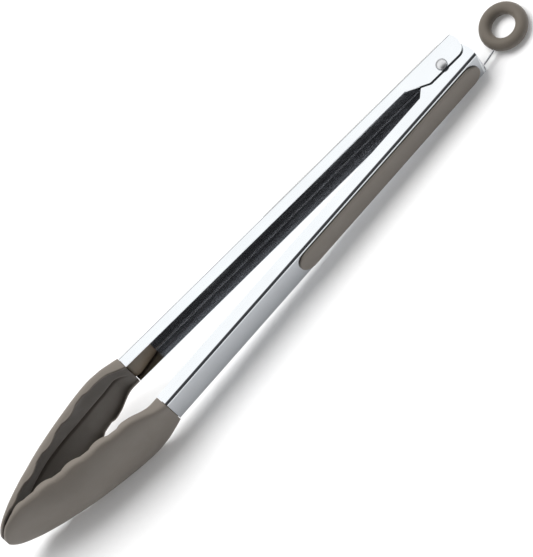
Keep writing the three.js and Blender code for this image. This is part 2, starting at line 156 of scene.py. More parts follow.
def mesh_object(name, points, faces, place, smooth_angle=40):
    """A mesh object from points in mm, shaded smooth up to an angle."""
    mesh = bpy.data.meshes.new(name)
    mesh.from_pydata([tuple(place @ Vector(p)) for p in points], [], faces)
    mesh.update()
    bm = bmesh.new()
    bm.from_mesh(mesh)
    bmesh.ops.remove_doubles(bm, verts=bm.verts, dist=1e-7)
    bmesh.ops.recalc_face_normals(bm, faces=bm.faces)
    bm.to_mesh(mesh)
    bm.free()
    obj = bpy.data.objects.new(name, mesh)
    bpy.context.scene.collection.objects.link(obj)
    shade(obj, smooth_angle)
    return obj


def shade(obj, angle):
    mesh = obj.data
    mesh.polygons.foreach_set("use_smooth", [True] * len(mesh.polygons))
    if angle < 180:
        mesh.set_sharp_from_angle(angle=math.radians(angle))


def apply_modifiers(obj):
    """Bakes the modifiers into the mesh."""
    depsgraph = bpy.context.evaluated_depsgraph_get()
    mesh = bpy.data.meshes.new_from_object(obj.evaluated_get(depsgraph))
    obj.modifiers.clear()
    obj.data = mesh
    return obj


def sheet_grid(rows):
    """Quads between closed rows of points with the same length."""
    count = len(rows[0])
    points = [p for row in rows for p in row]
    faces = []
    for r in range(len(rows) - 1):
        for c in range(count):
            d = (c + 1) % count
            faces.append((r * count + c, r * count + d, (r + 1) * count + d, (r + 1) * count + c))
    return points, faces


def capped_grid(rows):
    """The same quads, with a face over the first row and over the last."""
    points, faces = sheet_grid(rows)
    count = len(rows[0])
    faces.append(tuple(range(count)))
    faces.append(tuple(range(len(points) - count, len(points))))
    return points, faces


def tube(name, centres, radius, sides, place):
    """A round wire along points, with the section carried along without twist."""
    last = len(centres) - 1
    tangents = [(centres[min(i + 1, last)] - centres[max(i - 1, 0)]).normalized() for i in range(last + 1)]
    up = Vector((0, 0, 1)) if abs(tangents[0].z) < 0.9 else Vector((1, 0, 0))
    rows = []
    for centre, tangent in zip(centres, tangents):
        up = (up - tangent * up.dot(tangent)).normalized()
        across = tangent.cross(up)
        angles = [2 * math.pi * k / sides for k in range(sides)]
        rows.append([centre + radius * (math.cos(a) * up + math.sin(a) * across) for a in angles])
    points, faces = capped_grid(rows)
    return mesh_object(name, points, faces, place, 50)


# ---- materials -----------------------------------------------------------------------------------
def new_material(name, color, roughness, metallic=0.0):
    material = bpy.data.materials.new(name)
    material.use_nodes = True
    tree = material.node_tree
    shader = tree.nodes["Principled BSDF"]
    shader.inputs["Base Color"].default_value = (*color, 1)
    shader.inputs["Roughness"].default_value = roughness
    shader.inputs["Metallic"].default_value = metallic
    return material, tree, shader


def add_noise(tree, scale, detail=4.0, stretch=(1, 1, 1), roughness=0.55):
    """A noise in the object's own coordinates, in cycles per metre, stretched along its axes."""
    coords = tree.nodes.new("ShaderNodeTexCoord")
    mapping = tree.nodes.new("ShaderNodeMapping")
    mapping.inputs["Scale"].default_value = stretch
    noise = tree.nodes.new("ShaderNodeTexNoise")
    noise.inputs["Scale"].default_value = scale
    noise.inputs["Detail"].default_value = detail
    noise.inputs["Roughness"].default_value = roughness
    tree.links.new(coords.outputs["Object"], mapping.inputs["Vector"])
    tree.links.new(mapping.outputs["Vector"], noise.inputs["Vector"])
    return noise.outputs["Fac"]


def add_ramp(tree, source, low, high, at=(0.35, 0.65)):
    """Maps a noise onto a colour or grey between low and high."""
    ramp = tree.nodes.new("ShaderNodeValToRGB")
    first, second = ramp.color_ramp.elements
    first.position, second.position = at
    first.color = (*low, 1)
    second.color = (*high, 1)
    tree.links.new(source, ramp.inputs["Fac"])
    return ramp.outputs["Color"]


def add_bump(tree, shader, source, strength, distance, before=None):
    bump = tree.nodes.new("ShaderNodeBump")
    bump.inputs["Strength"].default_value = strength
    bump.inputs["Distance"].default_value = distance
    tree.links.new(source, bump.inputs["Height"])
    if before is not None:
        tree.links.new(before, bump.inputs["Normal"])
    tree.links.new(bump.outputs["Normal"], shader.inputs["Normal"])
    return bump.outputs["Normal"]


def grey(value):
    return (value, value, value)


def sheet_steel(name, color, roughness):
    """Rolled stainless sheet: fine lines along the arm and faint handling marks."""
    material, tree, shader = new_material(name, color, roughness, 1.0)
    lines = add_noise(tree, 900, 3, (0.012, 1, 1), 0.6)
    marks = add_noise(tree, 45, 5)
    rough = tree.nodes.new("ShaderNodeMix")
    rough.data_type = "RGBA"
    rough.inputs["Factor"].default_value = 0.35
    low, high = grey(roughness * 0.6), grey(roughness * 1.4)
    tree.links.new(add_ramp(tree, lines, low, high, (0.3, 0.7)), rough.inputs[6])
    tree.links.new(add_ramp(tree, marks, low, high, (0.4, 0.75)), rough.inputs[7])
    tree.links.new(rough.outputs[2], shader.inputs["Roughness"])
    darker = [0.95 * c for c in color]
    tree.links.new(add_ramp(tree, marks, darker, color, (0.3, 0.7)), shader.inputs["Base Color"])
    first = add_bump(tree, shader, lines, 0.05, 0.00002)
    add_bump(tree, shader, add_noise(tree, 9, 1, (0.5, 1, 1)), 0.03, 0.0002, first)
    return material


def turned_steel(name, color, roughness, scale=1400):
    """Drawn or turned stainless: a fine grain and a little variation in gloss."""
    material, tree, shader = new_material(name, color, roughness, 1.0)
    grain = add_noise(tree, scale, 3)
    low, high = grey(roughness * 0.75), grey(roughness * 1.35)
    tree.links.new(add_ramp(tree, grain, low, high, (0.3, 0.7)), shader.inputs["Roughness"])
    add_bump(tree, shader, grain, 0.06, 0.00002)
    return material


def silicone_rubber(name, color, darker):
    """Matte silicone: a soft bloom, slow mottling in tone and a fine mould texture."""
    material, tree, shader = new_material(name, color, 0.52)
    shader.inputs["Specular IOR Level"].default_value = 0.42
    shader.inputs["Sheen Weight"].default_value = 0.18
    shader.inputs["Sheen Roughness"].default_value = 0.6
    shader.inputs["Sheen Tint"].default_value = (0.85, 0.80, 0.74, 1)
    mottle = add_noise(tree, 38, 4)
    tree.links.new(add_ramp(tree, mottle, darker, color, (0.25, 0.7)), shader.inputs["Base Color"])
    dust = add_noise(tree, 160, 5)
    tree.links.new(add_ramp(tree, dust, grey(0.44), grey(0.60), (0.3, 0.7)), shader.inputs["Roughness"])
    first = add_bump(tree, shader, add_noise(tree, 5200, 2), 0.10, 0.00003)
    add_bump(tree, shader, add_noise(tree, 90, 3), 0.12, 0.00006, first)
    return material


def moulded_nylon():
    """Dark glass filled nylon with a faint flow pattern and a satin face."""
    material, tree, shader = new_material("moulded_nylon", (0.200, 0.150, 0.095), 0.42)
    flow = add_noise(tree, 70, 5, (0.35, 1, 1))
    tone = add_ramp(tree, flow, (0.175, 0.131, 0.082), (0.225, 0.172, 0.112), (0.3, 0.7))
    tree.links.new(tone, shader.inputs["Base Color"])
    tree.links.new(add_ramp(tree, flow, grey(0.36), grey(0.52), (0.3, 0.7)), shader.inputs["Roughness"])
    add_bump(tree, shader, add_noise(tree, 3600, 2), 0.12, 0.00003)
    return material


STEEL = sheet_steel("stainless_sheet", (0.83, 0.86, 0.885), 0.11)
# Painted shade: a darker copy of the same sheet steel for the arm's back wall, standing in for the shaded
# floor that it reflects.
BACK_WALL_PAINTED_SHADE_STEEL = sheet_steel("stainless_back_wall_painted_shade", (0.50, 0.52, 0.545), 0.13)
# Painted shade: a darker copy of the sheet steel for the channel's inner faces, standing in for the shade
# inside the channel; its higher roughness is a rougher finish.
INNER_FACE_PAINTED_SHADE_STEEL = sheet_steel("stainless_inner_face_painted_shade", (0.50, 0.51, 0.53), 0.22)
RIVET_STEEL = turned_steel("rivet_steel", (0.77, 0.78, 0.79), 0.34)
SPRING_STEEL = turned_steel("spring_wire_steel", (0.56, 0.57, 0.60), 0.30)
LOCK_STEEL = turned_steel("stamped_lock_steel", (0.66, 0.67, 0.69), 0.28, 700)
PULL_STEEL = turned_steel("pull_wire_steel", (0.74, 0.75, 0.77), 0.18)
SILICONE = silicone_rubber("grey_silicone", (0.215, 0.190, 0.163), (0.198, 0.174, 0.149))
# Painted shade: a darker copy of the grey silicone for the inside of the head covers, standing in for the
# shade in their hollows.
HOLLOW_PAINTED_SHADE_SILICONE = silicone_rubber("hollow_painted_shade_silicone", (0.115, 0.099, 0.083), (0.103, 0.089, 0.075))
RING_SILICONE = silicone_rubber("ring_silicone", (0.150, 0.130, 0.106), (0.137, 0.118, 0.096))
NYLON = moulded_nylon()


def finish_piece(obj, material, body, slot, *nodes):
    """Gives a piece its material and its body, and hides the CAD nodes that it stands for; the slot argument
    is not used.
    """
    obj.data.materials.clear()
    obj.data.materials.append(material)
    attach(obj, body)
    if nodes:
        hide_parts(*nodes)
    return obj


# ---- arms ----------------------------------------------------------------------------------------
def arc(start, end, radius, centre, steps):
    """Points of an arc as (x, y), angles in degrees."""
    angles = [math.radians(lerp(start, end, k / steps)) for k in range(steps + 1)]
    return [(centre[0] + radius * math.cos(a), centre[1] + radius * math.sin(a)) for a in angles]


def rounded(points, corner, radius, steps=6):
    """Replaces one corner of an outline by a curve tangent to both its sides."""
    before, at, after = (Vector(points[corner + k]) for k in (-1, 0, 1))
    a, b = (before - at).normalized(), (after - at).normalized()
    reach = radius / math.tan(a.angle(b) / 2)
    start, end = at + a * reach, at + b * reach
    curve = []
    for k in range(steps + 1):
        t = k / steps
        curve.append(tuple((1 - t) ** 2 * start + 2 * t * (1 - t) * at + t * t * end))
    return points[:corner] + curve + points[corner + 1:]


def wall_outline(share):
    """The arm's outline seen along Z, from the under wall's (0) to the over wall's (1)."""
    wall = {k: lerp(UNDER_WALL[k], OVER_WALL[k], share) for k in ("depth", "butt", "back", "ear")}
    slope_start, slope_end = (lerp(UNDER_WALL["slope"][k], OVER_WALL["slope"][k], share) for k in (0, 1))
    butt, back, ear = wall["butt"], wall["back"], wall["ear"]
    low, high, edge = EAR + ear, ARM_BACK - back, ARM_BACK - wall["depth"]
    points = [(ARM_END + 2, ARM_BACK + 1), (butt + back, ARM_BACK + 1)]
    points += arc(90, 180, back, (butt + back, high), 10)
    down = [k / 10 for k in range(1, 10)]
    points += [(butt - 4 * BUTT_BULGE * t * (1 - t), lerp(high, low, t)) for t in down]
    points += arc(180, 270, ear, (butt + ear, low), 12)
    corner = len(points)
    points += [(slope_start, EAR), (slope_end, edge), (ARM_END + 2, edge)]
    return rounded(rounded(points, corner + 1, 0.5), corner, 1.4)


def arm_plan():
    """The solid that trims the folded sheet to its outline."""
    levels = ((1, ARM_BOTTOM - 1), (1, ARM_BOTTOM + BEND), (0, ARM_TOP - BEND), (0, ARM_TOP + 1))
    rows = [[Vector((x, y, z)) for x, y in wall_outline(share)] for share, z in levels]
    points, faces = capped_grid(rows)
    return solid_object("arm_plan", points, faces)


def folded_section():
    """The sheet's section seen along the arm, as (y, z), closed, with fine folds."""
    free = EAR - 1
    bend_y = ARM_BACK - BEND
    outer = [(free, ARM_BOTTOM)] + arc(-90, 0, BEND, (bend_y, ARM_BOTTOM + BEND), 10)
    outer += arc(0, 90, BEND, (bend_y, ARM_TOP - BEND), 10) + [(free, ARM_TOP)]
    inner_radius = BEND - SHEET
    inner = [(free, ARM_TOP - SHEET)] + arc(90, 0, inner_radius, (bend_y, ARM_TOP - BEND), 10)
    inner += arc(0, -90, inner_radius, (bend_y, ARM_BOTTOM + BEND), 10) + [(free, ARM_BOTTOM + SHEET)]
    return outer + inner


def solid_object(name, points, faces):
    return mesh_object(name, points, faces, Matrix.Identity(4), 180)


def prism(name, points):
    """A solid between two outlines: the first half of the points is one, the second half the other."""
    n = len(points) // 2
    faces = [tuple(range(n)), tuple(range(n, 2 * n))]
    faces += [(k, (k + 1) % n, n + (k + 1) % n, n + k) for k in range(n)]
    return solid_object(name, points, faces)


def cut(target, tool, operation):
    """One exact boolean, applied, and the tool thrown away."""
    modifier = target.modifiers.new("cut", "BOOLEAN")
    modifier.operation = operation
    modifier.solver = "EXACT"
    modifier.object = tool
    apply_modifiers(target)
    bpy.data.objects.remove(tool)


def bevel_edges(obj, width, segments, angle):
    """Rounds the edges sharper than an angle."""
    bevel = obj.modifiers.new("edges", "BEVEL")
    bevel.width = width
    bevel.segments = segments
    bevel.limit_method = "ANGLE"
    bevel.angle_limit = math.radians(angle)
    bevel.use_clamp_overlap = True
    apply_modifiers(obj)


def flatten_shading(obj, angle):
    """Smooth folds and bevels, with the large flat faces kept flat."""
    shade(obj, angle)
    normals = obj.modifiers.new("normals", "WEIGHTED_NORMAL")
    normals.mode = "FACE_AREA"
    normals.weight = 100
    normals.keep_sharp = True
    apply_modifiers(obj)


def box_solid(name, low, high):
    corners = [(x, y, z) for z in (low[2], high[2]) for y in (low[1], high[1]) for x in (low[0], high[0])]
    faces = [(0, 1, 3, 2), (4, 5, 7, 6), (0, 1, 5, 4), (2, 3, 7, 6), (0, 2, 6, 4), (1, 3, 7, 5)]
    return solid_object(name, corners, faces)


def post_solid(name, radius, low, high, sides=48):
    points = [(radius * math.cos(2 * math.pi * k / sides), radius * math.sin(2 * math.pi * k / sides), z)
              for z in (low, high) for k in range(sides)]
    return prism(name, points)


def arm_channel(name):
    """The folded sheet, trimmed and drilled, with painted shade on its inner faces and its back wall: both
    take darker copies of the sheet's steel.
    """
    start = UNDER_WALL["butt"] - 2
    channel = prism(name + "_sheet", [(x, y, z) for x in (start, ARM_END) for y, z in folded_section()])
    cut(channel, arm_plan(), "INTERSECT")
    cut(channel, post_solid("pivot_hole", PIVOT_HOLE, ARM_BOTTOM - 1, ARM_TOP + 1), "DIFFERENCE")
    if name == "plain_arm":
        low = (start, ARM_BACK - BEND, ARM_BOTTOM + SHEET)
        cut(channel, box_solid("relief", low, (RELIEF_END, ARM_BACK + 1, ARM_TOP - SHEET)), "DIFFERENCE")
    bevel_edges(channel, CUT_EDGE, 2, 50)
    channel.data.transform(arm_frame(name))
    flatten_shading(channel, 50)
    finish_piece(channel, STEEL, name, "steel", name + "_channel")
    # The darker inner steel: painted shade inside the channel.
    channel.data.materials.append(INNER_FACE_PAINTED_SHADE_STEEL)
    channel.data.materials.append(BACK_WALL_PAINTED_SHADE_STEEL)
    to_arm = arm_frame(name).inverted()
    for face in channel.data.polygons:
        centre = to_arm @ face.center
        between_walls = ARM_BOTTOM + SHEET - FACE_SLACK < centre.z < ARM_TOP - SHEET + FACE_SLACK
        # Back-wall faces take the darker back-wall steel and faces between the walls take the darker inner
        # steel: both are painted shade.
        if centre.y > ARM_BACK - FACE_SLACK:
            face.material_index = 2
        else:
            face.material_index = int(between_walls and centre.y < ARM_BACK - SHEET + FACE_SLACK)
    return channel


# ---- grip inlays -----------------------------------------------------------------------------------
def stadium(half, start, end, steps=20):
    """The inlay's outline as (x, z) round the arm's own height."""
    angles = [math.pi * k / steps for k in range(steps + 1)]
    right = [(end - half + half * math.sin(a), -half * math.cos(a)) for a in angles]
    left = [(start + half - half * math.sin(a), half * math.cos(a)) for a in angles]
    return right + left


def grip_inlay(name):
    """A soft pad with rounded edges and a slight crown, lying in the arm's back."""
    top = GRIP_INNER + GRIP_THICK
    low_edge = top - GRIP_EDGE
    rings = [(0.0, GRIP_INNER), (0.0, low_edge)]
    for k in range(1, 5):
        angle = math.pi / 2 * k / 4
        rings.append((GRIP_EDGE * (1 - math.cos(angle)), low_edge + GRIP_EDGE * math.sin(angle)))
    rings += [(inset, top + rise) for inset, rise in GRIP_CROWN]
    rows = []
    for inset, y in rings:
        outline = stadium(GRIP_HALF - inset, GRIP_START + inset, GRIP_END - inset)
        rows.append([Vector((x, y, ARM_CENTRE + z)) for x, z in outline])
    points, faces = sheet_grid(rows)
    count = len(rows[0])
    faces.append(tuple(range(count)))
    last = (len(rows) - 1) * count
    half_count = count // 2
    for k in range(half_count - 1):  # the crown is closed by strips across its width
        faces.append((last + k, last + k + 1, last + count - 2 - k, last + count - 1 - k))
    inlay = mesh_object(name + "_inlay", points, faces, arm_frame(name), 60)
    return finish_piece(inlay, SILICONE, name, "silicone", name + "_grip_inlay")


# ---- heads ---------------------------------------------------------------------------------------
SKIN_CLEARANCE = 0.03
ACROSS = 26  # points over half of a cover's outside


def head_width(x):
    width = smooth(HEAD_WIDTHS, x)
    if x <= TIP_ROUND_START:
        return width
    share = (x - TIP_ROUND_START) / (HEAD_TIP - TIP_ROUND_START)
    return smooth(HEAD_WIDTHS, TIP_ROUND_START) * max(1 - share ** 2.3, 0) ** (1 / 1.8)


def scallop(x):
    rise = smoothstep(x, SCALLOP_START + 5, SCALLOP_START + 13)
    fade = 1 - smoothstep(x, HEAD_TIP - 16, HEAD_TIP - 4)
    lobe = abs(math.sin(math.pi * (x - SCALLOP_START) / SCALLOP_PITCH))
    return SCALLOP_HEIGHT * rise * fade * (1 - lobe ** 0.75)


def cover_at(x):
    """What a head's cover measures at x."""
    half = max(head_width(x), 0.6)
    back, base = smooth(HEAD_BACKS, x), smooth(HEAD_RIMS, x)
    depth = back - base - SKIN_CLEARANCE
    filled = 1 - smoothstep(x, HEAD_START, HEAD_START + END_WALL)
    wall = lerp(min(WALL, 0.75 * depth), 0.94 * depth, filled)
    return {"half": half, "inner": max(half - RIM_WALL, 0.4 * half),
            "base": base, "depth": depth, "wall": wall,
            "rim": base + min(scallop(x), 0.4 * (depth - wall)), "crown": smooth(HEAD_CROWNS, x),
            "hollow": 1 - filled, "band": smooth(BAND_WIDTHS, x), "band_inset": smooth(BAND_INSETS, x)}


def cover_inside(c, z):
    """The hollow: two planes that meet in a shallow groove along the middle."""
    share = min(abs(z) / c["inner"], 1)
    groove = GROOVE_DEPTH * c["hollow"] * math.exp(-(z / GROOVE_HALF) ** 2)
    deep = (c["depth"] - c["wall"]) * (1 - share ** 6) ** (1 / 2.4)
    return c["base"] + deep + c["crown"] * (1 - share ** 1.2) + groove


def band_inset(c, above_rim):
    """How far the outside stands in near the rim: a soft band that follows the scallops."""
    left = 1 - above_rim / c["band"]
    return c["band_inset"] * (left + math.sqrt(left ** 2 + 0.0015)) / 2


def cover_section(x, across):
    """One closed section of the cover: outside over the back, round the rim, hollow, round the rim."""
    c = cover_at(x)
    depth, rim = c["depth"], c["rim"]
    lift = rim - c["base"]
    boxy = 1 - smoothstep(x, HEAD_START + 2, HEAD_START + 14)
    wide, deep = lerp(0.5, 0.26, boxy), lerp(1 / 1.7, 0.34, boxy)
    outer_end = c["half"] * (1 - (lift / depth) ** (2 / deep)) ** (wide / 2) - c["band_inset"]
    inner_end = c["inner"] * (1 - (lift / (depth - c["wall"])) ** 2.4) ** (1 / 6)
    lip = min(0.6, 0.35 * (outer_end - inner_end))
    last = math.acos(((lift + lip) / depth) ** (1 / deep))
    half_outside = []
    for k in range(across + 1):
        turn = last * (k / across) ** 0.8
        share = math.sin(turn) ** wide
        y = c["base"] + depth * math.cos(turn) ** deep + c["crown"] * (1 - share ** 2) ** 1.5
        half_outside.append((share * c["half"] - band_inset(c, y - rim) * (share > 0.5), y))
    outside = [(-z, y) for z, y in reversed(half_outside[1:])] + half_outside
    edge = half_outside[-1][0]
    rim_right = [(edge - lip * (1 - math.cos(a)), rim + lip * (1 - math.sin(a)))
                 for a in (math.pi / 2 * k / 4 for k in range(1, 5))]
    rim_right += [(inner_end + lip * (1 - math.sin(a)), rim + lip * (1 - math.cos(a)))
                  for a in (math.pi / 2 * k / 4 for k in range(0, 4))]
    inside = []
    for k in range(across * 2 + 1):
        z = (inner_end - 0.02) * math.sin(math.pi * (0.5 - k / across / 2))
        inside.append((z, max(cover_inside(c, z), rim + lip)))
    rim_left = [(-z, y) for z, y in reversed(rim_right)]
    return [Vector((x, y, ARM_CENTRE + z)) for z, y in outside + rim_right + inside + rim_left]


def head_stations(start, end, steps):
    """Places along a head, closer together towards the tip."""
    shares = [k / steps for k in range(steps + 1)]
    return [start + (end - start) * (1 - (1 - s) ** 1.35) for s in shares]


def head_cover(name):
    tip = HEAD_TIP - 0.15
    rows = [cover_section(x, ACROSS) for x in head_stations(HEAD_START, tip, 230)]
    points, faces = capped_grid(rows)
    count = len(rows[0])
    cover = mesh_object(name + "_cover", points, faces, arm_frame(name), 60)
    finish_piece(cover, SILICONE, name, "silicone", name + "_head_cover")
    # The hollow faces take the darker silicone: painted shade inside the cover.
    cover.data.materials.append(HOLLOW_PAINTED_SHADE_SILICONE)
    hollow = range(2 * ACROSS + 9, 4 * ACROSS + 9)
    for face in cover.data.polygons:
        face.material_index = int(face.index % count in hollow)
    return cover


def head_core(name):
    """The visible root of the head's core: a moulded tang that fills the arm's end."""
    high = ARM_BACK - SHEET - 0.12
    end = HEAD_START + 0.05
    places = [TANG_START + (end - TANG_START) * k / 12 for k in range(13)]
    outline = [(TANG_START, high)] + [(x, smooth(TANG_FACE, x)) for x in places] + [(end, high)]
    sides = (ARM_CENTRE - TANG_HALF, ARM_CENTRE + TANG_HALF)
    core = prism(name + "_tang", [(x, y, z) for z in sides for x, y in outline])
    bevel_edges(core, 0.5, 3, 50)
    core.data.transform(arm_frame(name))
    flatten_shading(core, 50)
    return finish_piece(core, NYLON, name, "nylon", name + "_head_core")


# ---- pivot and spring ------------------------------------------------------------------------------
PAIR_HALF = 9.0 + 0.3  # from the middle plane to the rivet's head, a gap above the walls
RIVET_RADIUS, DOME_RADIUS, DOME_HEIGHT = 2.0, 2.8, 1.2
FOOT_RADIUS, FOOT_HEIGHT = 3.5, 0.9
SPACER_RADIUS, SPACER_HALF = 3.2, ARM_TOP - SHEET - 0.3
STACK = Matrix.Scale(MM, 4) @ Matrix.Translation((0, 0, MID))


def turned(name, profile, place, sides=64):
    """A turned piece from (radius, z) points that start and end on the axis or at the same place."""
    angles = [2 * math.pi * k / sides for k in range(sides)]
    rows = [[Vector((r * math.cos(a), r * math.sin(a), z)) for a in angles] for r, z in profile]
    points, faces = sheet_grid(rows)
    return mesh_object(name, points, faces, place, 40)


def pivot_rivet():
    foot_low = -PAIR_HALF - FOOT_HEIGHT
    profile = [(0, foot_low)]
    profile += arc(-90, 0, 0.3, (FOOT_RADIUS - 0.3, foot_low + 0.3), 5)
    profile += arc(0, 90, 0.15, (FOOT_RADIUS - 0.15, -PAIR_HALF - 0.15), 3)
    profile += [(RIVET_RADIUS, -PAIR_HALF), (RIVET_RADIUS, PAIR_HALF)]
    profile += arc(-90, 0, 0.1, (DOME_RADIUS - 0.1, PAIR_HALF + 0.1), 3)
    rise = DOME_HEIGHT - 0.2
    profile += [(DOME_RADIUS * math.cos(a), PAIR_HALF + 0.2 + rise * math.sin(a))
                for a in (math.pi / 2 * k / 14 for k in range(1, 15))]
    rivet = turned("rivet", profile, STACK)
    return finish_piece(rivet, RIVET_STEEL, "plain_arm", "rivet_steel", "pivot_rivet")


def pivot_spacer():
    inner, outer, half, edge = RIVET_RADIUS + 0.3, SPACER_RADIUS, SPACER_HALF, 0.2
    profile = [(inner, -half + edge), (inner + edge, -half), (outer - edge, -half), (outer, -half + edge)]
    profile += [(outer, half - edge), (outer - edge, half), (inner + edge, half), (inner, half - edge)]
    spacer = turned("spacer", profile + profile[:1], STACK)
    return finish_piece(spacer, SPRING_STEEL, "plain_arm", "spring_steel", "pivot_spacer")


SPRING_WIRE, SPRING_RADIUS, SPRING_TURNS, SPRING_PITCH = 1.3, 4.6, 3.5, 1.5
SPRING_LOW, SPRING_LEG, COIL_SHARE = 0.95, 17.0, 0.74


def spring_point(t):
    """In along the plain arm, round the spacer and out along the lock arm, for t from 0 to 1."""
    leg = (1 - COIL_SHARE) / 2
    reach = ARM_BACK - SHEET - 0.3 - SPRING_WIRE / 2 - SPRING_RADIUS + SPRING_LEG * math.tan(ARM_ANGLE)

    def on_leg(along, side, z):
        spread = reach * smoothstep(along, 0, 0.9) - 0.25 * along
        return Vector((SPRING_LEG * along, side * (SPRING_RADIUS + spread), z))

    if t < leg:
        return on_leg(1 - t / leg, -1, SPRING_LOW)
    if t > 1 - leg:
        return on_leg((t - 1 + leg) / leg, 1, SPRING_LOW + SPRING_TURNS * SPRING_PITCH)
    along = (t - leg) / COIL_SHARE
    angle = -math.pi / 2 - 2 * math.pi * SPRING_TURNS * along
    z = SPRING_LOW + SPRING_TURNS * SPRING_PITCH * along
    return Vector((SPRING_RADIUS * math.cos(angle), SPRING_RADIUS * math.sin(angle), z))


def torsion_spring():
    spring = tube("spring", [spring_point(k / 360) for k in range(361)], SPRING_WIRE / 2, 14, STACK)
    spring.data.materials.append(SPRING_STEEL)
    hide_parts("torsion_spring")
    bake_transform(spring)


# ---- lock, wire and ring -----------------------------------------------------------------------------
LOCK_TRAVEL, LOCK_SHEET, LOCK_TOP, LOCK_REAR, LOCK_FRONT = 3.0, 1.2, -0.2, -12.8, 9.5
TAB_SIDE, TAB_FRONT, TAB_LOW = 6.0, -7.4, -6.9
HOOK = Vector((-10.5, 0, -4.8))
WIRE_RADIUS = 0.6
RING_CENTRE = Vector((-32.1, 0.6, -5.8))
RING_RADIUS, RING_TUBE = 9.0, 3.05
RING_ENTRY = math.radians(30)


def lock_plate():
    """A stamped plate with a slot round the spacer and a tab folded down at its side."""
    plan = [(LOCK_REAR, TAB_SIDE - 0.1), (LOCK_REAR, -2.6), (-6, -5.6), (4, -5.6), (LOCK_FRONT, -2.5),
            (LOCK_FRONT, 2.5), (4, TAB_SIDE - 0.1)]
    plate = prism("lock_stamping", [(x, y, z) for z in (LOCK_TOP - LOCK_SHEET, LOCK_TOP) for x, y in plan])
    fold = 1.5  # outer radius of the tab's fold
    centre = (TAB_SIDE - fold, LOCK_TOP - fold)
    section = arc(90, 0, fold, centre, 8) + [(TAB_SIDE, TAB_LOW), (TAB_SIDE - LOCK_SHEET, TAB_LOW)]
    section += arc(0, 90, fold - LOCK_SHEET, centre, 6)
    trim_low = (LOCK_REAR - 1, TAB_SIDE - fold, LOCK_TOP - 2)
    cut(plate, box_solid("trim", trim_low, (TAB_FRONT, TAB_SIDE + 1, LOCK_TOP + 1)), "DIFFERENCE")
    tab = prism("tab", [(x, y, z) for x in (LOCK_REAR, TAB_FRONT) for y, z in section])
    cut(plate, tab, "UNION")
    slot_half = SPACER_RADIUS + 0.3
    slot_plan = arc(-90, 90, slot_half, (0, 0), 24) + arc(90, 270, slot_half, (-LOCK_TRAVEL, 0), 24)
    slot = prism("slot", [(x, y, z) for z in (LOCK_TOP - 3, LOCK_TOP + 1) for x, y in slot_plan])
    cut(plate, slot, "DIFFERENCE")
    eye = post_solid("eye", WIRE_RADIUS + 0.3, -3, 3, 32)
    eye_centre = Matrix.Translation((HOOK.x, TAB_SIDE - LOCK_SHEET / 2, HOOK.z))
    eye.data.transform(eye_centre @ Matrix.Rotation(math.pi / 2, 4, "X"))
    cut(plate, eye, "DIFFERENCE")
    bevel_edges(plate, CUT_EDGE, 2, 40)
    plate.data.transform(STACK)
    flatten_shading(plate, 50)
    return finish_piece(plate, LOCK_STEEL, "lock_slider", "steel", "lock_plate")


def curve_through(points, steps):
    """A smooth centripetal curve through points."""
    ends = [2 * points[0] - points[1]] + points + [2 * points[-1] - points[-2]]
    line = []
    for i in range(1, len(ends) - 2):
        p = ends[i - 1:i + 3]
        gaps = [math.sqrt((p[k + 1] - p[k]).length) for k in range(3)]
        first, second, third = ((p[k + 1] - p[k]) / gaps[k] for k in range(3))
        lead = (first - (p[2] - p[0]) / (gaps[0] + gaps[1]) + second) * gaps[1]
        trail = (second - (p[3] - p[1]) / (gaps[1] + gaps[2]) + third) * gaps[1]
        for k in range(steps):
            t = k / steps
            line.append(p[1] + lead * t + (3 * (p[2] - p[1]) - 2 * lead - trail) * t ** 2
                        + (2 * (p[1] - p[2]) + lead + trail) * t ** 3)
    return line + [points[-1]]


def ring_entry():
    """Where the wire's centre line meets the ring's."""
    return RING_CENTRE + RING_RADIUS * Vector((math.cos(RING_ENTRY), math.sin(RING_ENTRY), 0))


def pull_wire():
    stops = [Vector((HOOK.x, TAB_SIDE - LOCK_SHEET - 0.9, HOOK.z)), Vector((HOOK.x, TAB_SIDE + 0.3, HOOK.z)),
             Vector((HOOK.x - 0.45, TAB_SIDE + 0.95, HOOK.z - 0.15)),
             Vector((HOOK.x - 1.5, TAB_SIDE + 1.2, HOOK.z - 0.6)), Vector((-13.6, 7.05, -6.0)), ring_entry()]
    stem = tube("wire", curve_through(stops, 12), WIRE_RADIUS, 16, STACK)
    return finish_piece(stem, PULL_STEEL, "ring_pull", "steel", "pull_wire")


def pull_ring():
    """A soft ring moulded over the wire, a little thicker where the wire goes in."""
    around, sides = 128, 40
    rows = []
    for i in range(around + 1):
        angle = 2 * math.pi * i / around
        direction = Vector((math.cos(angle), math.sin(angle), 0))
        off = abs((angle - RING_ENTRY + math.pi) % (2 * math.pi) - math.pi)
        boss = 0.0 if off > 0.25 else 0.35 * math.cos(off / 0.25 * math.pi / 2) ** 2
        row = []
        for k in range(sides):
            section = 2 * math.pi * k / sides
            outward = max(math.cos(section), 0) ** 4
            radius = RING_TUBE - 0.04 + boss * outward * 0.1
            row.append(RING_CENTRE + direction * (RING_RADIUS + radius * math.cos(section))
                       + Vector((0, 0, radius * math.sin(section))))
        rows.append(row)
    points, faces = sheet_grid(rows)
    ring = mesh_object("ring", points, faces, STACK, 180)
    return finish_piece(ring, RING_SILICONE, "ring_pull", "silicone", "pull_ring")


